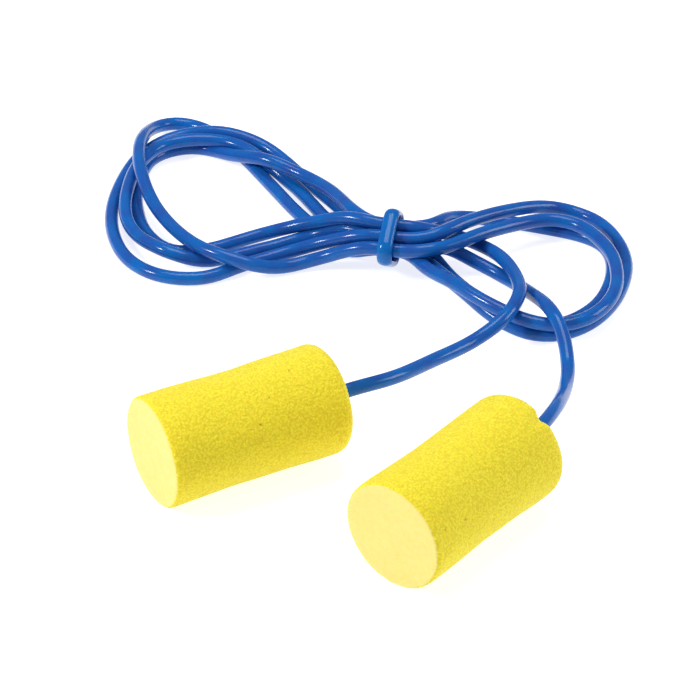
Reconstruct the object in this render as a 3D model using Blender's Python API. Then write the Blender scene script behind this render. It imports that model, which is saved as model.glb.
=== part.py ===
"""Corded foam ear plugs: two foam cylinders joined by one thin cord.

The cord is folded back and forth into four loops on the left and three on the
right, and a small elastic tie holds the eight runs where they pass each other.
The whole set lies on a flat surface, z = 0. The origin is under the middle of
the two plugs, +X runs along the pair and +Z is up.

Lengths are in millimetres until they reach Blender, which gets metres.
"""
import math

import bmesh
import bpy
import numpy as np
from mathutils import Vector

MM = 0.001

# Driving dimensions.
PLUG_RADIUS = 6.25
PLUG_LENGTH = 21.8
PLUG_WAIST = 0.2           # how much slimmer the middle is than the ends
FRONT_RIM = 0.5            # rounding of the end that goes into the ear
REAR_RIM = 1.3             # rounding of the end the cord leaves
CORD_RADIUS = 0.82
GAP = 0.3                  # clearance between touching pieces
BORE_RADIUS = CORD_RADIUS + GAP
BORE_DEPTH = 8.0
GLUE_THICKNESS = 0.8
TIE_WIDTH = 1.8
TIE_THICKNESS = 0.85

# Each plug: middle of its axis on the surface, and the heading of its cord end.
PLUGS = {
    "left": ((-11.2, 6.6), math.radians(29.1)),
    "right": ((11.9, -5.1), math.radians(50.0)),
}
PLUG_SEGMENTS = 48
EXIT_RUN = 3.0             # the cord leaves a plug straight for this far

# The tie: its centre, the heading of the bundle through it, and how far the
# stack of runs leans back.
TIE_CENTRE = np.array([5.5, 48.0, 3.85])
TIE_HEADING = math.radians(-12.0)
TIE_LEAN = math.radians(34.4)
TIE_HALF_RUN = 2.5         # the runs are straight for this far each side of it
RUN_SPACING = 1.74         # from one run to the next in the stack
TIE_STACK = {              # place of each run: columns in half spacings, rows in layers
    "top_front": (-1, 1), "top_back": (1, 1),
    "mid_front": (-2, 0), "mid": (0, 0), "mid_back": (2, 0),
    "low_front": (-3, -1), "low": (-1, -1), "low_back": (1, -1),
}
# The order in which the cord takes those places, starting from the left plug.
# Odd passes go from right to left, even ones from left to right.
PASSES = ("top_front", "top_back", "mid_back", "mid_front",
          "low_back", "low_front", "low", "mid")

# The cord's route between the tie and the plugs, and from one pass to the next.
LEFT_LEAD = [
    (5.4, 16.4, 5.6), (10, 22.3, 3.9), (14.6, 27.2, 3.1), (18.2, 30.3, 4.1),
    (20, 34.1, 4.5), (20.3, 37.7, 3.9), (19.8, 41.7, 3.1), (18.7, 45.2, 2.7),
    (16.8, 48.4, 2.2), (14.4, 49.5, 2.7), (12.1, 49.4, 3.6), (10, 48, 4.9)]
LOOPS = [
    # innermost left loop
    [(.8, 49.8, 5.6), (-3.4, 51.8, 3.7), (-7.6, 53, 1.9), (-11.6, 52.6, .9),
     (-16.2, 50.1, .8), (-19.1, 49.5, .8), (-21, 49.7, .8), (-22.8, 51.6, .8),
     (-24.4, 54.6, .8), (-25.3, 58.5, .8), (-25.7, 62.4, .8), (-25.2, 67.9, .8),
     (-24.3, 71, .8), (-22, 73.1, .8), (-18.7, 73.9, .8), (-16.6, 73, .9),
     (-14.2, 70.2, 1.9), (-9.9, 66.6, 3.5), (-7.4, 65.3, 3.1), (-4.1, 62.9, 2.8),
     (-1.6, 59, 3.5), (.1, 55, 4.2), (1.3, 52.2, 4.7)],
    # right loop that lies lowest
    [(10.3, 49.9, 4.4), (11.7, 52.5, 3.6), (13.4, 55.3, 2.2), (16.3, 56.9, 1),
     (19.3, 56.4, .8), (22.2, 55.6, .8), (25.4, 54.5, .8), (28, 53.5, .8),
     (30.8, 51.4, .8), (31.8, 48.3, .8), (31.7, 44.9, .8), (30.9, 41.4, .8),
     (29.6, 38.3, .8), (27.6, 35.8, .8), (25.4, 34.1, .8), (22.9, 33.7, .8),
     (20.5, 35.3, .8), (17.6, 36.9, .8), (14.5, 40.9, .8), (12.2, 44.5, .9),
     (10.2, 47.7, 1.8)],
    # outermost left loop
    [(1.4, 52.2, 2.7), (.2, 55.4, 2.3), (-1.3, 59, 1.7), (-4, 64.4, .9),
     (-7, 69.2, 1.1), (-10, 72.4, 1.8), (-13.1, 73.8, 2.5), (-16.6, 74.8, 2.6),
     (-20.2, 75, 2), (-22.8, 74.3, 1.5), (-25.4, 72.3, .8), (-26.9, 68.5, .8),
     (-27.8, 64.8, .8), (-28.4, 60.7, .8), (-28.4, 56.2, .8), (-27.6, 51.9, .8),
     (-26, 48, .8), (-23, 44.9, .8), (-19.4, 43.7, .8), (-15.9, 44.1, .8),
     (-13.3, 46, .8), (-10.6, 47.6, .8), (-7, 49, 1.1), (-2.4, 48.9, 2.7),
     (.4, 47.7, 4.1)],
    # outermost right loop
    [(9.8, 46, 5.1), (11.7, 47.1, 5.3), (14.2, 49.4, 5.1), (17.6, 52.6, 4.3),
     (20.6, 55.3, 3.3), (22.8, 56.8, 2.7), (25.5, 58.4, 1.6), (28.6, 58.2, .8),
     (31.2, 55.6, .8), (32.9, 51.5, .8), (33.5, 47, .8), (32.7, 42.2, .8),
     (31.2, 38.2, .8), (29.3, 35.2, .8), (27.1, 33.1, .8), (24.3, 31.8, .8),
     (21.4, 32.1, .8), (18.9, 33.6, 1), (16.9, 35.2, 1.4), (14, 39, 2),
     (11.4, 42.9, 2), (9.4, 45.8, 2.1)],
    # left loop that lies over the others
    [(.8, 49.5, .8), (-1.2, 51.1, .8), (-3.2, 54.2, .8), (-5.8, 58.3, .8),
     (-9.4, 65.2, .8), (-12.5, 71.1, .8), (-15.8, 76.3, .8), (-18.9, 79.1, .8),
     (-21.4, 79.8, .9), (-23.7, 78.3, 1.3), (-25.4, 71.6, 3.4), (-25.4, 65.6, 4),
     (-24.7, 61.6, 3.5), (-23.4, 57.9, 2.7), (-21.5, 53.8, 2.5), (-19.4, 50.4, 2.5),
     (-16.8, 47.4, 2.6), (-13.6, 45.6, 2.5), (-10.6, 45, 1.8), (-7.4, 46.2, .8),
     (-4.6, 47.2, 1), (-1.8, 47, 2), (.6, 46.1, 3.4)],
    # right loop that lies over the others
    [(9.6, 43.9, 4.7), (12.2, 45.4, 4.3), (15.5, 47.9, 4.2), (18.3, 50.2, 3.7),
     (21.4, 52.5, 3.1), (24.8, 54, 2.7), (28.2, 52.7, 2.6), (30.4, 49.5, 2.6),
     (31.7, 46.5, 2.5), (32, 43.9, 2.5), (31.9, 40.3, 2.5), (30.9, 36.6, 2.6),
     (29.3, 34, 2.6), (27.2, 32.2, 2.5), (24.6, 31.5, 2.4), (21.8, 31.9, 2.5),
     (19.5, 33, 2.7), (17.1, 34.5, 3.1), (15, 36.3, 3.3), (13.1, 38.4, 3.5),
     (11, 40.8, 3.2), (9.2, 43.5, 2.7)],
    # left loop between the outermost and the innermost
    [(.9, 48.6, 2.8), (-.3, 52, 1.8), (-3.2, 58.6, .8), (-7.2, 65.9, .8),
     (-9.5, 68, 1.8), (-11.6, 69.9, 2.5), (-13.9, 72, 2.5), (-17, 73, 2.5),
     (-20, 73, 2.4), (-22.7, 72.1, 2.3), (-24.7, 69.3, 2.4), (-26, 65.8, 2.4),
     (-26.6, 61.9, 2.3), (-26.8, 58.7, 2.1), (-26.3, 54.5, 1.9), (-25, 51.8, 1.7),
     (-23.2, 49.4, 2), (-20.6, 47.4, 2), (-16.8, 47.5, .8), (-13.4, 48.6, .8),
     (-8.8, 50.7, .8), (-6, 51.6, 1.2), (-3.2, 51.6, 2.1), (.4, 49.8, 4.1)],
]
RIGHT_LEAD = [
    (10.2, 46.9, 3.4), (12.4, 47.3, 2.9), (14.6, 46.7, 1.8), (16.8, 45.9, 1),
    (18.8, 44.1, .8), (20.5, 41.8, 1.1), (21.9, 37.6, 2.6), (23.1, 33.6, 4),
    (24.1, 30.4, 4.4), (25, 27.7, 3.2), (25.3, 23.7, 1.7), (24.7, 19.2, 2.2),
    (23.9, 14.6, 3.9), (22.9, 10.5, 5.3)]
CORD_TOLERANCE = 1.2       # how far the tube's straight runs stray from the curve

# Colour, roughness and metallic value of each finish.
FINISHES = {
    "foam_yellow": ((0.83, 0.72, 0.04), 0.95, 0.0),
    "pvc_blue": ((0.01, 0.10, 0.40), 0.28, 0.0),
    "pvc_blue_tie": ((0.01, 0.12, 0.42), 0.25, 0.0),
    "clear_adhesive": ((0.80, 0.78, 0.62), 0.35, 0.0),
}


def clear_scene():
    for obj in list(bpy.data.objects):
        bpy.data.objects.remove(obj, do_unlink=True)


def finish(name):
    """A Principled material, made once and shared."""
    material = bpy.data.materials.get(name)
    if material is None:
        colour, roughness, metallic = FINISHES[name]
        material = bpy.data.materials.new(name)
        material.use_nodes = True
        shader = material.node_tree.nodes["Principled BSDF"]
        shader.inputs["Base Color"].default_value = (*colour, 1.0)
        shader.inputs["Roughness"].default_value = roughness
        shader.inputs["Metallic"].default_value = metallic
    return material


def add_object(name, data, material, parent=None):
    obj = bpy.data.objects.new(name, data)
    bpy.context.scene.collection.objects.link(obj)
    obj.data.materials.append(finish(material))
    obj.parent = parent
    return obj


def turned(name, profile, material, parent):
    """A solid of revolution about X; profile is a list of (x, radius) from axis to axis."""
    bm = bmesh.new()
    verts = [bm.verts.new((x * MM, 0.0, r * MM)) for x, r in profile]
    edges = [bm.edges.new(pair) for pair in zip(verts, verts[1:])]
    bmesh.ops.spin(bm, geom=verts + edges, cent=(0, 0, 0), axis=(1, 0, 0),
                   angle=math.tau, steps=PLUG_SEGMENTS, use_merge=True)
    bmesh.ops.remove_doubles(bm, verts=bm.verts, dist=1e-7)
    bmesh.ops.recalc_face_normals(bm, faces=bm.faces)
    mesh = bpy.data.meshes.new(name)
    bm.to_mesh(mesh)
    bm.free()
    mesh.shade_smooth()
    mesh.set_sharp_from_angle(angle=math.radians(40))
    return add_object(name, mesh, material, parent)


def arc(cx, cr, radius, start, stop, steps):
    """Points of a quarter round in the (x, radius) plane, angles in degrees from +x."""
    angles = np.radians(np.linspace(start, stop, steps + 1))
    return [(cx + radius * math.cos(a), cr + radius * math.sin(a)) for a in angles]


def plug_profile():
    """From the middle of the front face, along the side, and down the cord's bore."""
    front = -PLUG_LENGTH
    side = np.linspace(front + FRONT_RIM, -REAR_RIM, 7)
    waist = [(x, PLUG_RADIUS - PLUG_WAIST * math.sin(math.pi * k / 6) ** 2)
             for k, x in enumerate(side)][1:-1]
    return ([(front, 0.0)]
            + arc(front + FRONT_RIM, PLUG_RADIUS - FRONT_RIM, FRONT_RIM, 180, 90, 3)
            + waist
            + arc(-REAR_RIM, PLUG_RADIUS - REAR_RIM, REAR_RIM, 90, 0, 5)
            + [(0.0, BORE_RADIUS), (-BORE_DEPTH, BORE_RADIUS), (-BORE_DEPTH, 0.0)])


def rod_profile(start, stop, radius):
    return [(start, 0.0), (start, radius), (stop, radius), (stop, 0.0)]


def plug_exit(side):
    """Where the cord leaves a plug, and the direction in which it leaves."""
    (x, y), heading = PLUGS[side]
    along = np.array([math.cos(heading), math.sin(heading), 0.0])
    return np.array([x, y, PLUG_RADIUS]) + along * PLUG_LENGTH / 2, along


def make_plug(side):
    """Foam body, the cord's glued end in its bore, and the glue at the bottom."""
    point, _ = plug_exit(side)
    pivot = bpy.data.objects.new(side + "_plug_pivot", None)
    bpy.context.scene.collection.objects.link(pivot)
    pivot.location = Vector(point) * MM
    pivot.rotation_euler = (0.0, 0.0, PLUGS[side][1])
    turned(side + "_foam_plug", plug_profile(), "foam_yellow", pivot)
    glue_start = -BORE_DEPTH + GAP
    glue_stop = glue_start + GLUE_THICKNESS
    turned(side + "_adhesive", rod_profile(glue_start, glue_stop, CORD_RADIUS),
           "clear_adhesive", pivot)
    turned(side + "_cord_end",
           rod_profile(glue_stop + GAP, -CORD_RADIUS - GAP, CORD_RADIUS),
           "pvc_blue", pivot)


def tie_axes():
    """Along the bundle, across its stack to the back, and up its rows."""
    along = np.array([math.cos(TIE_HEADING), math.sin(TIE_HEADING), 0.0])
    level = np.array([-along[1], along[0], 0.0])
    up = np.array([0.0, 0.0, 1.0])
    across = level * math.cos(TIE_LEAN) - up * math.sin(TIE_LEAN)
    rise = level * math.sin(TIE_LEAN) + up * math.cos(TIE_LEAN)
    return along, across, rise


def stack_place(place):
    """A run's place in the tie, as distances across and up from the centre."""
    column, row = TIE_STACK[place]
    return column * RUN_SPACING / 2, row * RUN_SPACING * math.sqrt(0.75)


def tie_point(place, side):
    """Where a run enters or leaves the tie; side is -1 on the left and 1 on the right."""
    along, across, rise = tie_axes()
    s, v = stack_place(place)
    return TIE_CENTRE + across * s + rise * v + along * side * TIE_HALF_RUN


def cord_route():
    """The route's own points, from the left plug to the right one."""
    left, left_along = plug_exit("left")
    right, right_along = plug_exit("right")
    points = [left, left + left_along * EXIT_RUN, *map(np.array, LEFT_LEAD)]
    side = 1
    for place, loop in zip(PASSES, LOOPS + [RIGHT_LEAD]):
        points += [tie_point(place, side), tie_point(place, -side)]
        points += map(np.array, loop)
        side = -side
    return np.array(points + [right + right_along * EXIT_RUN, right])


def smooth_curve(points, spacing=1.0, samples=14, passes=3):
    """A centripetal Catmull-Rom curve, evenly spaced and eased a little."""
    ends = np.vstack([2 * points[0] - points[1], points, 2 * points[-1] - points[-2]])
    curve = []
    for p0, p1, p2, p3 in zip(ends, ends[1:], ends[2:], ends[3:]):
        t1 = math.sqrt(np.linalg.norm(p1 - p0))
        t2 = t1 + math.sqrt(np.linalg.norm(p2 - p1))
        t3 = t2 + math.sqrt(np.linalg.norm(p3 - p2))
        for t in np.linspace(t1, t2, samples, endpoint=False):
            a1 = ((t1 - t) * p0 + t * p1) / t1
            a2 = ((t2 - t) * p1 + (t - t1) * p2) / (t2 - t1)
            a3 = ((t3 - t) * p2 + (t - t2) * p3) / (t3 - t2)
            b1 = ((t2 - t) * a1 + t * a2) / t2
            b2 = ((t3 - t) * a2 + (t - t1) * a3) / (t3 - t1)
            curve.append(((t2 - t) * b1 + (t - t1) * b2) / (t2 - t1))
    curve = np.array(curve + [points[-1]])
    run = np.concatenate([[0], np.cumsum(np.linalg.norm(np.diff(curve, axis=0), axis=1))])
    even = np.linspace(0, run[-1], int(round(run[-1] / spacing)) + 1)
    curve = np.stack([np.interp(even, run, curve[:, k]) for k in range(3)], axis=1)
    for _ in range(passes):
        curve[1:-1] = (curve[:-2] + 2 * curve[1:-1] + curve[2:]) / 4
    curve[:, 2] = np.maximum(curve[:, 2], CORD_RADIUS)
    return curve


def thinned(curve, anchors, tolerance):
    """The curve's points nearest the anchors, and those that keep it within the tolerance."""
    keep = [int(np.linalg.norm(curve - p, axis=1).argmin()) for p in anchors]
    keep = sorted({0, len(curve) - 1, *keep})
    spans = list(zip(keep, keep[1:]))
    while spans:
        first, last = spans.pop()
        if last - first < 2:
            continue
        chord = curve[last] - curve[first]
        offset = curve[first + 1:last] - curve[first]
        share = np.clip(offset @ chord / (chord @ chord), 0, 1)
        stray = np.linalg.norm(offset - share[:, None] * chord, axis=1)
        worst = int(stray.argmax())
        if stray[worst] > tolerance:
            middle = first + 1 + worst
            keep.append(middle)
            spans += [(first, middle), (middle, last)]
    return curve[sorted(keep)]


def dome(point, inward):
    """Tube points and radii that round off an end inside the plug's bore."""
    angles = [math.radians(a) for a in (80, 55, 28)]
    return [(point + inward * CORD_RADIUS * math.sin(a), math.cos(a)) for a in angles]


def make_cord():
    left, left_along = plug_exit("left")
    right, right_along = plug_exit("right")
    anchors = [tie_point(place, side) for place in TIE_STACK for side in (-1, 1)]
    anchors += [left + left_along * EXIT_RUN, right + right_along * EXIT_RUN]
    body = [(p, 1.0) for p in thinned(smooth_curve(cord_route()), anchors, CORD_TOLERANCE)]
    stations = dome(left, -left_along) + body + dome(right, -right_along)[::-1]
    curve = bpy.data.curves.new("cord", "CURVE")
    curve.dimensions = "3D"
    curve.bevel_depth = CORD_RADIUS * MM
    curve.bevel_resolution = 2
    curve.use_fill_caps = True
    spline = curve.splines.new("POLY")
    spline.points.add(len(stations) - 1)
    for station, (point, scale) in zip(spline.points, stations):
        station.co = (*(point * MM), 1.0)
        station.radius = scale
    spline.use_smooth = True
    return add_object("cord", curve, "pvc_blue")


def tie_outline():
    """Corner places and outward directions round the stack, with an arc at each corner."""
    corners = [np.array(stack_place(place)) for place in
               ("mid_back", "top_back", "top_front", "low_front", "low_back")]
    outline = []
    for before, corner, after in zip(corners[-1:] + corners, corners, corners[1:] + corners[:1]):
        first, last = (math.atan2(-edge[0], edge[1]) for edge in (corner - before, after - corner))
        turn = (last - first) % math.tau
        steps = max(3, round(turn / math.radians(12)))
        for k in range(steps + 1):
            angle = first + turn * k / steps
            outline.append((corner, np.array([math.cos(angle), math.sin(angle)])))
    return outline


def tie_section():
    """The band's section: (distance out from the runs, distance along the bundle)."""
    half, thick = TIE_WIDTH / 2, TIE_THICKNESS
    domed = [(thick * (0.35 + 0.65 * math.cos(a)), half * math.sin(a))
             for a in np.radians(np.linspace(-90, 90, 9))]
    return [(0.0, 0.72 * half), (0.0, -0.72 * half)] + domed


def make_tie():
    """An elastic band pulled close round the eight runs, which slides along them."""
    along, across, rise = tie_axes()
    bm = bmesh.new()
    rings = []
    for corner, out in tie_outline():
        ring = []
        for depth, shift in tie_section():
            s, v = corner + out * (CORD_RADIUS + GAP + depth)
            ring.append(bm.verts.new((across * s + rise * v + along * shift) * MM))
        rings.append(ring)
    for ring, following in zip(rings, rings[1:] + rings[:1]):
        for k in range(len(ring)):
            j = (k + 1) % len(ring)
            bm.faces.new((ring[k], ring[j], following[j], following[k]))
    bmesh.ops.recalc_face_normals(bm, faces=bm.faces)
    mesh = bpy.data.meshes.new("tie_ring")
    bm.to_mesh(mesh)
    bm.free()
    mesh.shade_smooth()
    tie = add_object("tie_ring", mesh, "pvc_blue_tie")
    tie.location = Vector(TIE_CENTRE) * MM
    return tie


clear_scene()
for plug_side in PLUGS:
    make_plug(plug_side)
make_cord()
make_tie()
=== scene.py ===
"""Corded foam ear plugs on a pale studio floor.

Two yellow foam plugs on one glossy blue cord, which is folded into loops and held
by a small elastic tie. Lengths are in millimetres until they reach Blender.
"""
import math

import bmesh
import bpy
import numpy as np
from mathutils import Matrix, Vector, noise


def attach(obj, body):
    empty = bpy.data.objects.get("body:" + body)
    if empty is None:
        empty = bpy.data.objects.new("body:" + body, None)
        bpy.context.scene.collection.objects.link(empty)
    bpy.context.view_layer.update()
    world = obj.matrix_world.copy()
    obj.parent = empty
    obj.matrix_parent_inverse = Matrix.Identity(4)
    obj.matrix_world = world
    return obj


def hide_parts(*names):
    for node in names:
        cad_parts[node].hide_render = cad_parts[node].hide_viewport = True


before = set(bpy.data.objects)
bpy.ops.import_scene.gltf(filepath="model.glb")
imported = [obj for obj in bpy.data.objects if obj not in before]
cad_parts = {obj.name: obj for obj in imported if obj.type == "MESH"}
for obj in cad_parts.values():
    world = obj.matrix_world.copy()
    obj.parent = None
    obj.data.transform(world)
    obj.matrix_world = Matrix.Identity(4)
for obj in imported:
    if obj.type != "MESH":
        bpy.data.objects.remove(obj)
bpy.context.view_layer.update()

MM = 0.001

# Camera: straight along +Y, looking down on the set.
CAMERA_TARGET = (0.57, 30.0, 0.0)
CAMERA_ELEVATION = math.radians(34.38)
CAMERA_DISTANCE = 393.6
CAMERA_LENS = 175.8        # focal length
CAMERA_SENSOR = 36.0       # width of the sensor

# The plugs, the cord and the tie, as in the CAD model.
PLUG_RADIUS = 6.25
PLUG_LENGTH = 21.8
PLUG_WAIST = 0.2           # how much slimmer the middle is than the ends
FRONT_RIM = 0.5            # rounding of the end that goes into the ear
REAR_RIM = 1.3             # rounding of the end the cord leaves
CORD_RADIUS = 0.82
GAP = 0.3                  # between the outer runs and the tie
BORE_DEPTH = 8.0           # how deep the foam is open for the cord
TIE_WIDTH = 1.8
TIE_THICKNESS = 0.85
TIE_CROWN = 0.65           # how much of the thickness the rounded back takes
TIE_FOOT = 0.72            # width of the band's inner face, as a share of its width

# Each plug: middle of its axis on the surface, and the heading of its cord end.
PLUGS = {
    "left": ((-11.2, 6.6), math.radians(29.1)),
    "right": ((11.9, -5.1), math.radians(50.0)),
}
EXIT_RUN = 3.0             # the cord leaves a plug straight for this far

# The tie: its centre, the heading of the bundle through it, and how far the
# stack of runs leans back.
TIE_CENTRE = np.array([5.5, 48.0, 3.85])
TIE_HEADING = math.radians(-12.0)
TIE_LEAN = math.radians(34.4)
TIE_HALF_RUN = 2.5         # the runs are straight for this far each side of it
RUN_SPACING = 1.74         # from one run to the next in the stack
TIE_STACK = {              # each run's column, in half spacings, and its layer
    "top_front": (-1, 1), "top_back": (1, 1),
    "mid_front": (-2, 0), "mid": (0, 0), "mid_back": (2, 0),
    "low_front": (-3, -1), "low": (-1, -1), "low_back": (1, -1),
}
# The order in which the cord takes those places, starting from the left plug.
# Odd passes go from right to left, even ones from left to right.
PASSES = ("top_front", "top_back", "mid_back", "mid_front",
          "low_back", "low_front", "low", "mid")

# The cord's route between the tie and the plugs, and from one pass to the next.
LEFT_LEAD = [
    (5.4, 16.4, 5.6), (10, 22.3, 3.9), (14.6, 27.2, 3.1), (18.2, 30.3, 4.1),
    (20, 34.1, 4.5), (20.3, 37.7, 3.9), (19.8, 41.7, 3.1), (18.7, 45.2, 2.7),
    (16.8, 48.4, 2.2), (14.4, 49.5, 2.7), (12.1, 49.4, 3.6), (10, 48, 4.9)]
LOOPS = [
    # innermost left loop
    [(.8, 49.8, 5.6), (-3.4, 51.8, 3.7), (-7.6, 53, 1.9), (-11.6, 52.6, .9),
     (-16.2, 50.1, .8), (-19.1, 49.5, .8), (-21, 49.7, .8), (-22.8, 51.6, .8),
     (-24.4, 54.6, .8), (-25.3, 58.5, .8), (-25.7, 62.4, .8), (-25.2, 67.9, .8),
     (-24.3, 71, .8), (-22, 73.1, .8), (-18.7, 73.9, .8), (-16.6, 73, .9),
     (-14.2, 70.2, 1.9), (-9.9, 66.6, 3.5), (-7.4, 65.3, 3.1), (-4.1, 62.9, 2.8),
     (-1.6, 59, 3.5), (.1, 55, 4.2), (1.3, 52.2, 4.7)],
    # right loop that lies lowest
    [(10.3, 49.9, 4.4), (11.7, 52.5, 3.6), (13.4, 55.3, 2.2), (16.3, 56.9, 1),
     (19.3, 56.4, .8), (22.2, 55.6, .8), (25.4, 54.5, .8), (28, 53.5, .8),
     (30.8, 51.4, .8), (31.8, 48.3, .8), (31.7, 44.9, .8), (30.9, 41.4, .8),
     (29.6, 38.3, .8), (27.6, 35.8, .8), (25.4, 34.1, .8), (22.9, 33.7, .8),
     (20.5, 35.3, .8), (17.6, 36.9, .8), (14.5, 40.9, .8), (12.2, 44.5, .9),
     (10.2, 47.7, 1.8)],
    # outermost left loop
    [(1.4, 52.2, 2.7), (.2, 55.4, 2.3), (-1.3, 59, 1.7), (-4, 64.4, .9),
     (-7, 69.2, 1.1), (-10, 72.4, 1.8), (-13.1, 73.8, 2.5), (-16.6, 74.8, 2.6),
     (-20.2, 75, 2), (-22.8, 74.3, 1.5), (-25.4, 72.3, .8), (-26.9, 68.5, .8),
     (-27.8, 64.8, .8), (-28.4, 60.7, .8), (-28.4, 56.2, .8), (-27.6, 51.9, .8),
     (-26, 48, .8), (-23, 44.9, .8), (-19.4, 43.7, .8), (-15.9, 44.1, .8),
     (-13.3, 46, .8), (-10.6, 47.6, .8), (-7, 49, 1.1), (-2.4, 48.9, 2.7),
     (.4, 47.7, 4.1)],
    # outermost right loop
    [(9.8, 46, 5.1), (11.7, 47.1, 5.3), (14.2, 49.4, 5.1), (17.6, 52.6, 4.3),
     (20.6, 55.3, 3.3), (22.8, 56.8, 2.7), (25.5, 58.4, 1.6), (28.6, 58.2, .8),
     (31.2, 55.6, .8), (32.9, 51.5, .8), (33.5, 47, .8), (32.7, 42.2, .8),
     (31.2, 38.2, .8), (29.3, 35.2, .8), (27.1, 33.1, .8), (24.3, 31.8, .8),
     (21.4, 32.1, .8), (18.9, 33.6, 1), (16.9, 35.2, 1.4), (14, 39, 2),
     (11.4, 42.9, 2), (9.4, 45.8, 2.1)],
    # left loop that lies over the others
    [(.8, 49.5, .8), (-1.2, 51.1, .8), (-3.2, 54.2, .8), (-5.8, 58.3, .8),
     (-9.4, 65.2, .8), (-12.5, 71.1, .8), (-15.8, 76.3, .8), (-18.9, 79.1, .8),
     (-21.4, 79.8, .9), (-23.7, 78.3, 1.3), (-25.4, 71.6, 3.4), (-25.4, 65.6, 4),
     (-24.7, 61.6, 3.5), (-23.4, 57.9, 2.7), (-21.5, 53.8, 2.5), (-19.4, 50.4, 2.5),
     (-16.8, 47.4, 2.6), (-13.6, 45.6, 2.5), (-10.6, 45, 1.8), (-7.4, 46.2, .8),
     (-4.6, 47.2, 1), (-1.8, 47, 2), (.6, 46.1, 3.4)],
    # right loop that lies over the others
    [(9.6, 43.9, 4.7), (12.2, 45.4, 4.3), (15.5, 47.9, 4.2), (18.3, 50.2, 3.7),
     (21.4, 52.5, 3.1), (24.8, 54, 2.7), (28.2, 52.7, 2.6), (30.4, 49.5, 2.6),
     (31.7, 46.5, 2.5), (32, 43.9, 2.5), (31.9, 40.3, 2.5), (30.9, 36.6, 2.6),
     (29.3, 34, 2.6), (27.2, 32.2, 2.5), (24.6, 31.5, 2.4), (21.8, 31.9, 2.5),
     (19.5, 33, 2.7), (17.1, 34.5, 3.1), (15, 36.3, 3.3), (13.1, 38.4, 3.5),
     (11, 40.8, 3.2), (9.2, 43.5, 2.7)],
    # left loop between the outermost and the innermost
    [(.9, 48.6, 2.8), (-.3, 52, 1.8), (-3.2, 58.6, .8), (-7.2, 65.9, .8),
     (-9.5, 68, 1.8), (-11.6, 69.9, 2.5), (-13.9, 72, 2.5), (-17, 73, 2.5),
     (-20, 73, 2.4), (-22.7, 72.1, 2.3), (-24.7, 69.3, 2.4), (-26, 65.8, 2.4),
     (-26.6, 61.9, 2.3), (-26.8, 58.7, 2.1), (-26.3, 54.5, 1.9), (-25, 51.8, 1.7),
     (-23.2, 49.4, 2), (-20.6, 47.4, 2), (-16.8, 47.5, .8), (-13.4, 48.6, .8),
     (-8.8, 50.7, .8), (-6, 51.6, 1.2), (-3.2, 51.6, 2.1), (.4, 49.8, 4.1)],
]
RIGHT_LEAD = [
    (10.2, 46.9, 3.4), (12.4, 47.3, 2.9), (14.6, 46.7, 1.8), (16.8, 45.9, 1),
    (18.8, 44.1, .8), (20.5, 41.8, 1.1), (21.9, 37.6, 2.6), (23.1, 33.6, 4),
    (24.1, 30.4, 4.4), (25, 27.7, 3.2), (25.3, 23.7, 1.7), (24.7, 19.2, 2.2),
    (23.9, 14.6, 3.9), (22.9, 10.5, 5.3)]
DOME_ANGLES = (85, 75, 62, 48, 32, 16)     # rings of the cord's rounded ends, in degrees

# The foam's surface.
FOAM_AROUND = 360          # vertices round a plug
FOAM_STEP = 0.12           # spacing along its side
FACE_STEP = 0.3            # spacing across its front face
REAR_STEP = FACE_STEP / 1.6        # and across its rear face, which is drawn in
REAR_SKIN = 0.6            # how smooth the rear face is, where the front face is 1
GRAIN_SIZE = 0.27          # the pebbly cells of the cut side
GRAIN_HEIGHT = 0.08
GRAIN_EDGE = 0.75          # where a cell's height comes down to 0, in cell sizes
GRAIN_LEVEL = 0.6          # the height of a cell that leaves the surface as it is
SKIN_CALM = 0.8            # how much of the grain the smooth ends lose
LUMP_SIZE = 5.0            # slow unevenness of the soft body
LUMP_HEIGHT = 0.09
PORES = 9                  # small holes scattered over the side; their dark colour is painted shade
PORE_RADII = (0.09, 0.17)
PORE_DEPTH = 0.22
PORE_REACH = 0.4           # rings nearer than this to a pore are tested against it
PORE_MIN_RADIUS = 3.0      # there are none on the foam nearer the axis than this
DIMPLE_RADIUS = 2.6        # the rear end is drawn in round the cord
DIMPLE_DEPTH = 0.7
BORE_CLEARANCE = 0.03      # the foam closes on the cord
CREASES = {                # pinches in the rear rim: place along the axis, angle
    "left": [],            # from the top in radians, reach and depth
    "right": [(-0.5, 0.55, 1.3, 0.45)],
}
FOAM_SEEDS = (("left", 3), ("right", 8))

FLOOR_REACH = 4.0          # half the floor's width, in metres


# ---------------------------------------------------------------- helpers

def add_object(name, data, *materials):
    obj = bpy.data.objects.new(name, data)
    bpy.context.scene.collection.objects.link(obj)
    for material in materials:
        obj.data.materials.append(material)
    return obj


def smoothstep(value):
    value = min(max(value, 0.0), 1.0)
    return value * value * (3.0 - 2.0 * value)


def arc(cx, cr, radius, start, stop, steps):
    """Points of a quarter round in the (x, radius) plane, angles in degrees from +x."""
    angles = np.radians(np.linspace(start, stop, steps + 1))
    return [(cx + radius * math.cos(a), cr + radius * math.sin(a)) for a in angles]


# ---------------------------------------------------------------- camera

def make_camera():
    """The photograph's own view."""
    back = Vector((0.0, -math.cos(CAMERA_ELEVATION), math.sin(CAMERA_ELEVATION)))
    data = bpy.data.cameras.new("camera")
    data.sensor_width = CAMERA_SENSOR
    data.lens = CAMERA_LENS
    camera = add_object("camera", data)
    camera.location = (Vector(CAMERA_TARGET) + back * CAMERA_DISTANCE) * MM
    camera.rotation_euler = (math.pi / 2 - CAMERA_ELEVATION, 0.0, 0.0)
    bpy.context.scene.camera = camera


# ---------------------------------------------------------------- materials

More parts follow.
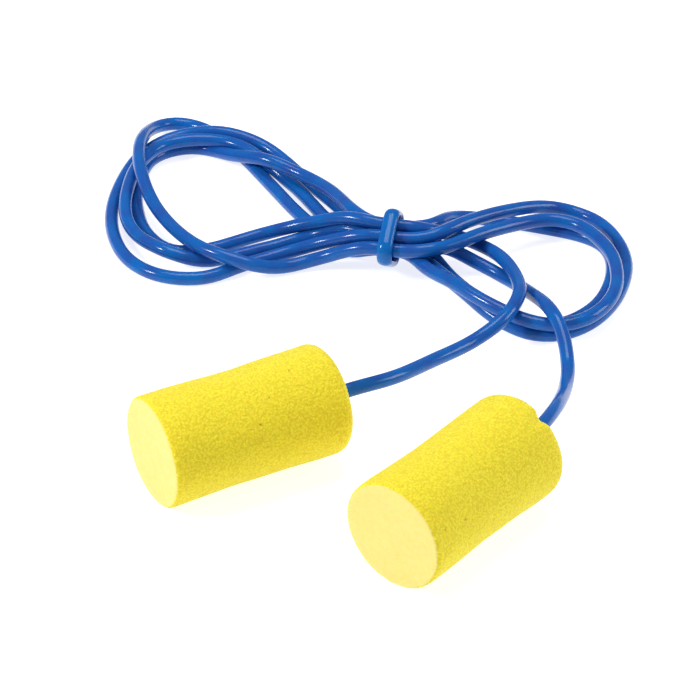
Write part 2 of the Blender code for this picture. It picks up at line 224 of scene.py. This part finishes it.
class Shader:
    """A Principled material and short ways to add nodes to it."""

    def __init__(self, name):
        self.material = bpy.data.materials.new(name)
        self.material.use_nodes = True
        self.tree = self.material.node_tree
        self.surface = self.tree.nodes["Principled BSDF"]
        self.place = self.tree.nodes.new("ShaderNodeTexCoord").outputs["Object"]

    def set(self, **values):
        for name, value in values.items():
            self.surface.inputs[name.replace("_", " ")].default_value = value

    def feed(self, socket, value):
        """Link another node's output to a socket, or set it to a constant."""
        if isinstance(value, bpy.types.NodeSocket):
            self.tree.links.new(value, socket)
        else:
            socket.default_value = value

    def node(self, kind, **values):
        made = self.tree.nodes.new(kind)
        for name, value in values.items():
            self.feed(made.inputs[name.replace("_", " ")], value)
        return made

    def noise(self, size, detail=3.0, roughness=0.5):
        """Smooth noise whose features are about size millimetres across."""
        made = self.node("ShaderNodeTexNoise", Vector=self.place, Scale=1.0 / (size * MM),
                         Detail=detail, Roughness=roughness)
        return made.outputs["Fac"]

    def cells(self, size):
        """Distance from the nearest middle of cells about size millimetres across."""
        made = self.node("ShaderNodeTexVoronoi", Vector=self.place, Scale=1.0 / (size * MM))
        return made.outputs["Distance"]

    def attribute(self, name):
        made = self.tree.nodes.new("ShaderNodeAttribute")
        made.attribute_name = name
        return made.outputs["Fac"]

    def spread(self, value, low, high, new_low=0.0, new_high=1.0):
        """Stretch the range from low to high over the range from new_low to new_high."""
        made = self.node("ShaderNodeMapRange", Value=value)
        for name, number in zip(("From Min", "From Max", "To Min", "To Max"),
                                (low, high, new_low, new_high)):
            made.inputs[name].default_value = number
        return made.outputs["Result"]

    def mix(self, share, first, second):
        made = self.tree.nodes.new("ShaderNodeMix")
        made.data_type = "RGBA"
        # a Mix node has a set of sockets for each data type: 6, 7 and 2 are the colours'
        self.feed(made.inputs["Factor"], share)
        self.feed(made.inputs[6], first)
        self.feed(made.inputs[7], second)
        return made.outputs[2]

    def join(self, socket, value):
        self.tree.links.new(value, self.surface.inputs[socket])

    def bump(self, height, depth, strength=1.0, before=None):
        """A bump depth millimetres deep, on top of the one before it."""
        made = self.node("ShaderNodeBump", Height=height, Strength=strength,
                         Distance=depth * MM)
        if before is not None:
            self.tree.links.new(before, made.inputs["Normal"])
        return made.outputs["Normal"]


def foam_material():
    """Yellow slow-recovery foam: a pebbly cut side, with painted shade between its cells and in
    its pores, and smooth paler ends.
    """
    s = Shader("yellow_foam")
    grain = s.cells(GRAIN_SIZE)
    fine = s.noise(0.14, detail=4.0)
    # the cells' colour darkens towards their edges: painted shade in the crevices between them
    crumb_and_crevice_shade = s.mix(s.spread(grain, 0.2, 0.7), (0.93, 0.82, 0.035, 1), (0.75, 0.60, 0.015, 1))
    crumb_and_crevice_shade = s.mix(s.spread(fine, 0.35, 0.7, 0.0, 0.35), crumb_and_crevice_shade, (0.90, 0.79, 0.05, 1))
    crumb_and_crevice_shade = s.mix(s.spread(s.noise(3.0), 0.35, 0.7, 0.0, 0.25), crumb_and_crevice_shade, (0.80, 0.66, 0.022, 1))
    skin = s.mix(s.spread(s.noise(0.6), 0.3, 0.7), (0.88, 0.75, 0.24, 1), (0.85, 0.72, 0.19, 1))
    colour = s.mix(s.attribute("skin"), crumb_and_crevice_shade, skin)
    # the pores' dark brown is painted shade inside the holes
    colour = s.mix(s.attribute("pore"), colour, (0.20, 0.11, 0.006, 1))
    s.join("Base Color", colour)
    s.join("Normal", s.bump(fine, 0.07, 1.0, s.bump(grain, -0.08, 0.8)))
    s.set(Roughness=0.85, Specular_IOR_Level=0.25, Subsurface_Weight=0.25, Subsurface_Scale=MM,
          Subsurface_Radius=(1.6, 1.0, 0.18), Sheen_Weight=0.12, Sheen_Roughness=0.5)
    return s.material


def pvc_material(name, light, dark):
    """Glossy soft PVC with the faint unevenness of an extruded or moulded surface."""
    s = Shader(name)
    cloud = s.noise(2.2, detail=2.0)
    s.join("Base Color", s.mix(s.spread(cloud, 0.3, 0.7), light, dark))
    s.join("Roughness", s.spread(s.noise(0.8, detail=5.0, roughness=0.6), 0.3, 0.7, 0.13, 0.20))
    s.join("Normal", s.bump(s.noise(2.6, detail=1.0), 0.008, 0.4))
    s.set(IOR=1.4, Specular_IOR_Level=0.3, Coat_Weight=0.08, Coat_Roughness=0.06,
          Subsurface_Weight=0.12, Subsurface_Scale=MM, Subsurface_Radius=(0.25, 0.3, 1.0))
    return s.material


def adhesive_material():
    """Clear hardened adhesive, slightly clouded."""
    s = Shader("clear_adhesive")
    s.join("Base Color", s.mix(s.noise(0.5), (0.80, 0.78, 0.62, 1), (0.72, 0.68, 0.48, 1)))
    s.join("Normal", s.bump(s.noise(0.4), 0.03, 0.5))
    s.set(Roughness=0.3, Transmission_Weight=0.5)
    return s.material


def floor_material():
    """White paper that glows, so that shadows on it stay faint."""
    s = Shader("floor_paper")
    s.join("Base Color", s.mix(s.noise(6.0), (0.52, 0.52, 0.52, 1), (0.56, 0.56, 0.56, 1)))
    s.set(Roughness=0.9, Specular_IOR_Level=0.1, Emission_Color=(1, 1, 1, 1),
          Emission_Strength=0.78)
    return s.material


# ---------------------------------------------------------------- cord

def plug_exit(side):
    """Where the cord leaves a plug, and the direction in which it leaves."""
    (x, y), heading = PLUGS[side]
    along = np.array([math.cos(heading), math.sin(heading), 0.0])
    return np.array([x, y, PLUG_RADIUS]) + along * PLUG_LENGTH / 2, along


def tie_axes():
    """Along the bundle, across its stack to the back, and up its rows."""
    along = np.array([math.cos(TIE_HEADING), math.sin(TIE_HEADING), 0.0])
    level = np.array([-along[1], along[0], 0.0])
    up = np.array([0.0, 0.0, 1.0])
    across = level * math.cos(TIE_LEAN) - up * math.sin(TIE_LEAN)
    rise = level * math.sin(TIE_LEAN) + up * math.cos(TIE_LEAN)
    return along, across, rise


def stack_place(place):
    """A run's place in the tie, as distances across and up from the centre."""
    column, row = TIE_STACK[place]
    return column * RUN_SPACING / 2, row * RUN_SPACING * math.sqrt(0.75)


def tie_point(place, side):
    """Where a run enters or leaves the tie; side is -1 on the left and 1 on the right."""
    along, across, rise = tie_axes()
    s, v = stack_place(place)
    return TIE_CENTRE + across * s + rise * v + along * side * TIE_HALF_RUN


def cord_route():
    """The route's own points, from the left plug to the right one."""
    left, left_along = plug_exit("left")
    right, right_along = plug_exit("right")
    points = [left, left + left_along * EXIT_RUN, *map(np.array, LEFT_LEAD)]
    side = 1
    for place, loop in zip(PASSES, LOOPS + [RIGHT_LEAD]):
        points += [tie_point(place, side), tie_point(place, -side)]
        points += map(np.array, loop)
        side = -side
    return np.array(points + [right + right_along * EXIT_RUN, right])


def smooth_curve(points, spacing=1.0, samples=14, passes=3):
    """A centripetal Catmull-Rom curve, evenly spaced and eased a little."""
    ends = np.vstack([2 * points[0] - points[1], points, 2 * points[-1] - points[-2]])
    curve = []
    for p0, p1, p2, p3 in zip(ends, ends[1:], ends[2:], ends[3:]):
        t1 = math.sqrt(np.linalg.norm(p1 - p0))
        t2 = t1 + math.sqrt(np.linalg.norm(p2 - p1))
        t3 = t2 + math.sqrt(np.linalg.norm(p3 - p2))
        for t in np.linspace(t1, t2, samples, endpoint=False):
            a1 = ((t1 - t) * p0 + t * p1) / t1
            a2 = ((t2 - t) * p1 + (t - t1) * p2) / (t2 - t1)
            a3 = ((t3 - t) * p2 + (t - t2) * p3) / (t3 - t2)
            b1 = ((t2 - t) * a1 + t * a2) / t2
            b2 = ((t3 - t) * a2 + (t - t1) * a3) / (t3 - t1)
            curve.append(((t2 - t) * b1 + (t - t1) * b2) / (t2 - t1))
    curve = np.array(curve + [points[-1]])
    steps = np.linalg.norm(np.diff(curve, axis=0), axis=1)
    run = np.concatenate([[0], np.cumsum(steps)])
    even = np.linspace(0, run[-1], int(round(run[-1] / spacing)) + 1)
    curve = np.stack([np.interp(even, run, curve[:, k]) for k in range(3)], axis=1)
    for _ in range(passes):
        curve[1:-1] = (curve[:-2] + 2 * curve[1:-1] + curve[2:]) / 4
    curve[:, 2] = np.maximum(curve[:, 2], CORD_RADIUS)
    return curve


def dome(point, inward):
    """Tube points and radii that round off an end inside the plug's bore."""
    angles = [math.radians(a) for a in DOME_ANGLES]
    return [(point + inward * CORD_RADIUS * math.sin(a), math.cos(a)) for a in angles]


def make_cord(material):
    left, left_along = plug_exit("left")
    right, right_along = plug_exit("right")
    body = [(p, 1.0) for p in smooth_curve(cord_route())]
    stations = dome(left, -left_along) + body + dome(right, -right_along)[::-1]
    data = bpy.data.curves.new("free_cord", "CURVE")
    data.dimensions = "3D"
    data.bevel_depth = CORD_RADIUS * MM
    data.bevel_resolution = 9
    data.use_fill_caps = True
    spline = data.splines.new("POLY")
    spline.points.add(len(stations) - 1)
    for station, (point, scale) in zip(spline.points, stations):
        station.co = (*(point * MM), 1.0)
        station.radius = scale
    spline.use_smooth = True
    cord = add_object("free_cord", data, material)
    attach(cord, "cord")
    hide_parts("cord")
    return cord


# ---------------------------------------------------------------- tie

def tie_outline():
    """Corner places and outward directions round the stack, with an arc at each corner."""
    corners = [np.array(stack_place(place)) for place in
               ("mid_back", "top_back", "top_front", "low_front", "low_back")]
    outline = []
    befores, afters = corners[-1:] + corners, corners[1:] + corners[:1]
    for before, corner, after in zip(befores, corners, afters):
        first, last = (math.atan2(-edge[0], edge[1])
                       for edge in (corner - before, after - corner))
        turn = (last - first) % math.tau
        steps = max(6, round(turn / math.radians(4)))
        for k in range(steps + 1):
            angle = first + turn * k / steps
            outline.append((corner, np.array([math.cos(angle), math.sin(angle)])))
    return outline


def tie_section():
    """The band's section: (distance out from the runs, distance along the bundle)."""
    half, thick = TIE_WIDTH / 2, TIE_THICKNESS
    domed = [(thick * (1.0 - TIE_CROWN + TIE_CROWN * math.cos(a)), half * math.sin(a))
             for a in np.radians(np.linspace(-90, 90, 25))]
    return [(0.0, TIE_FOOT * half), (0.0, -TIE_FOOT * half)] + domed


def make_tie(material):
    """The elastic band round the eight runs."""
    along, across, rise = tie_axes()
    bm = bmesh.new()
    rings = []
    for corner, out in tie_outline():
        ring = []
        for depth, shift in tie_section():
            s, v = corner + out * (CORD_RADIUS + GAP + depth)
            ring.append(bm.verts.new((across * s + rise * v + along * shift) * MM))
        rings.append(ring)
    for ring, following in zip(rings, rings[1:] + rings[:1]):
        for k in range(len(ring)):
            j = (k + 1) % len(ring)
            bm.faces.new((ring[k], ring[j], following[j], following[k]))
    bmesh.ops.recalc_face_normals(bm, faces=bm.faces)
    mesh = bpy.data.meshes.new("elastic_tie")
    bm.to_mesh(mesh)
    bm.free()
    mesh.shade_smooth()
    tie = add_object("elastic_tie", mesh, material)
    tie.location = Vector(TIE_CENTRE) * MM
    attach(tie, "tie")
    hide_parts("tie_ring")
    return tie


# ---------------------------------------------------------------- foam plugs

def foam_profile():
    """(x, radius, skin) from the middle of the front face to the bottom of the bore."""
    front = -PLUG_LENGTH
    flat = PLUG_RADIUS - FRONT_RIM
    profile = [(front, r, 1.0) for r in
               np.linspace(0, flat, round(flat / FACE_STEP), endpoint=False)]
    profile += [(x, r, 1.0 if k < 3 else 0.0) for k, (x, r) in
                enumerate(arc(front + FRONT_RIM, flat, FRONT_RIM, 180, 90, 7))]
    side = PLUG_LENGTH - FRONT_RIM - REAR_RIM
    for share in np.linspace(0, 1, round(side / FOAM_STEP), endpoint=False)[1:]:
        radius = PLUG_RADIUS - PLUG_WAIST * math.sin(math.pi * share) ** 2
        profile.append((front + FRONT_RIM + side * share, radius, 0.0))
    rim = PLUG_RADIUS - REAR_RIM
    profile += [(x, r, 0.0) for x, r in arc(-REAR_RIM, rim, REAR_RIM, 90, 0, 16)]
    hole = CORD_RADIUS + BORE_CLEARANCE
    for r in np.linspace(rim, hole, round((rim - hole) / REAR_STEP))[1:]:
        sink = smoothstep((DIMPLE_RADIUS - r) / (DIMPLE_RADIUS - hole)) * DIMPLE_DEPTH
        profile.append((-sink, r, REAR_SKIN))
    profile += [(x, hole, 0.0) for x in np.linspace(-DIMPLE_DEPTH, -BORE_DEPTH, 12)[1:]]
    return profile + [(-BORE_DEPTH, 0.0, 0.0)]


def profile_normals(profile):
    """Unit normals (x, radius) along the profile, pointing out of the foam."""
    line = np.array([(x, r) for x, r, _ in profile])
    tangent = np.gradient(line, axis=0)
    tangent /= np.linalg.norm(tangent, axis=1, keepdims=True)
    normal = np.stack([-tangent[:, 1], tangent[:, 0]], axis=1)
    normal[0] = (-1.0, 0.0)
    return normal


def pore_places(random):
    """Scattered (x, angle, radius) of the small holes in the side."""
    return [(random.uniform(-PLUG_LENGTH + 1.5, -REAR_RIM), random.uniform(0, math.tau),
             random.uniform(*PORE_RADII)) for _ in range(PORES)]


def grain(point):
    """Height of the pebbly cells, from 0 between them to 1 on top."""
    nearest = noise.voronoi(point / GRAIN_SIZE)[0][0]
    return max(0.0, 1.0 - (nearest / GRAIN_EDGE) ** 2)


def make_foam(side, seed, material):
    """One plug, with the origin where the cord leaves it and the axis along -x."""
    random = np.random.default_rng(seed)
    shift = Vector(random.uniform(-50, 50, 3))
    profile = foam_profile()
    normals = profile_normals(profile)
    pores = pore_places(random)
    bm = bmesh.new()
    skins, pore_shades = [], []
    rings = []
    for (x, r, skin), (nx, nr) in zip(profile, normals):
        near = [pore for pore in pores if abs(pore[0] - x) < PORE_REACH and r > PORE_MIN_RADIUS]
        inside = r < CORD_RADIUS + 2 * BORE_CLEARANCE and x > -PLUG_LENGTH / 2
        around = 1 if r == 0 else FOAM_AROUND
        ring = []
        for k in range(around):
            angle = math.tau * k / FOAM_AROUND
            cosine, sine = math.cos(angle), math.sin(angle)
            point = Vector((x, -r * sine, r * cosine))
            height, depth = 0.0, 0.0
            if not inside:
                height = LUMP_HEIGHT * noise.noise(point / LUMP_SIZE + shift)
                calm = 1.0 - SKIN_CALM * skin
                height += GRAIN_HEIGHT * calm * (grain(point + shift) - GRAIN_LEVEL)
            for px, pangle, pradius in near:
                turn = (angle - pangle + math.pi) % math.tau - math.pi
                reach = math.hypot(x - px, turn * r) / pradius
                depth = max(depth, 1.0 - smoothstep(reach))
            height -= PORE_DEPTH * depth
            for cx, cangle, reach, deep in CREASES[side]:
                turn = (angle - cangle + math.pi) % math.tau - math.pi
                height -= deep * (1.0 - smoothstep(math.hypot((x - cx) / 2, turn * r) / reach))
            point += Vector((nx, -nr * sine, nr * cosine)) * height
            point.z = max(point.z, -PLUG_RADIUS)
            ring.append(bm.verts.new(point * MM))
            skins.append(skin)
            pore_shades.append(depth)
        rings.append(ring)
    for ring, following in zip(rings, rings[1:]):
        for k in range(FOAM_AROUND):
            j = (k + 1) % FOAM_AROUND
            if len(ring) == 1:
                bm.faces.new((ring[0], following[j], following[k]))
            elif len(following) == 1:
                bm.faces.new((ring[k], ring[j], following[0]))
            else:
                bm.faces.new((ring[k], ring[j], following[j], following[k]))
    bmesh.ops.recalc_face_normals(bm, faces=bm.faces)
    mesh = bpy.data.meshes.new(side + "_foam")
    bm.to_mesh(mesh)
    bm.free()
    mesh.shade_smooth()
    for name, values in (("skin", skins), ("pore", pore_shades)):
        mesh.attributes.new(name, "FLOAT", "POINT").data.foreach_set("value", values)
    foam = add_object(side + "_foam", mesh, material)
    foam.location = Vector(plug_exit(side)[0]) * MM
    foam.rotation_euler = (0.0, 0.0, PLUGS[side][1])
    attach(foam, side + "_plug")
    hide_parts(side + "_foam_plug")


# ---------------------------------------------------------------- studio

def area_light(name, place, size, power):
    """A soft rectangular light turned to the middle of the picture."""
    data = bpy.data.lights.new(name, "AREA")
    data.shape = "RECTANGLE"
    data.size, data.size_y = (v * MM for v in size)
    data.energy = power
    light = add_object(name, data)
    light.location = Vector(place) * MM
    aim = (Vector(CAMERA_TARGET) - Vector(place)).normalized()
    light.rotation_euler = aim.to_track_quat("-Z", "Y").to_euler()


def make_studio():
    """A glowing white floor, a dim world and three soft lights."""
    mesh = bpy.data.meshes.new("floor")
    corners = [(x * FLOOR_REACH, y * FLOOR_REACH, 0)
               for x, y in ((-1, -1), (1, -1), (1, 1), (-1, 1))]
    mesh.from_pydata(corners, [], [(0, 1, 2, 3)])
    add_object("floor", mesh, floor_material())
    world = bpy.data.worlds.new("studio")
    world.use_nodes = True
    background = world.node_tree.nodes["Background"]
    background.inputs["Color"].default_value = (0.9, 0.87, 1, 1)
    background.inputs["Strength"].default_value = 0.28
    bpy.context.scene.world = world
    area_light("key_left", (-430, -120, 330), (95, 95), 1.9)
    area_light("side_right", (480, 60, 220), (220, 220), 1.0)
    area_light("overhead", (0, 160, 620), (360, 360), 2.2)
    bpy.context.scene.view_settings.view_transform = "Standard"


# ---------------------------------------------------------------- the object

make_camera()
cord_blue = pvc_material("blue_cord_pvc", (0.003, 0.118, 0.42, 1), (0.014, 0.078, 0.34, 1))
tie_blue = pvc_material("blue_tie", (0.002, 0.125, 0.43, 1), (0.003, 0.105, 0.37, 1))
cord = make_cord(cord_blue)
tie = make_tie(tie_blue)

foam = foam_material()
for plug_side, plug_seed in FOAM_SEEDS:
    make_foam(plug_side, plug_seed, foam)
glue = adhesive_material()
for plug_side in PLUGS:
    for part, look in (("_cord_end", cord_blue), ("_adhesive", glue)):
        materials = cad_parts[plug_side + part].data.materials
        materials.clear()
        materials.append(look)

make_studio()
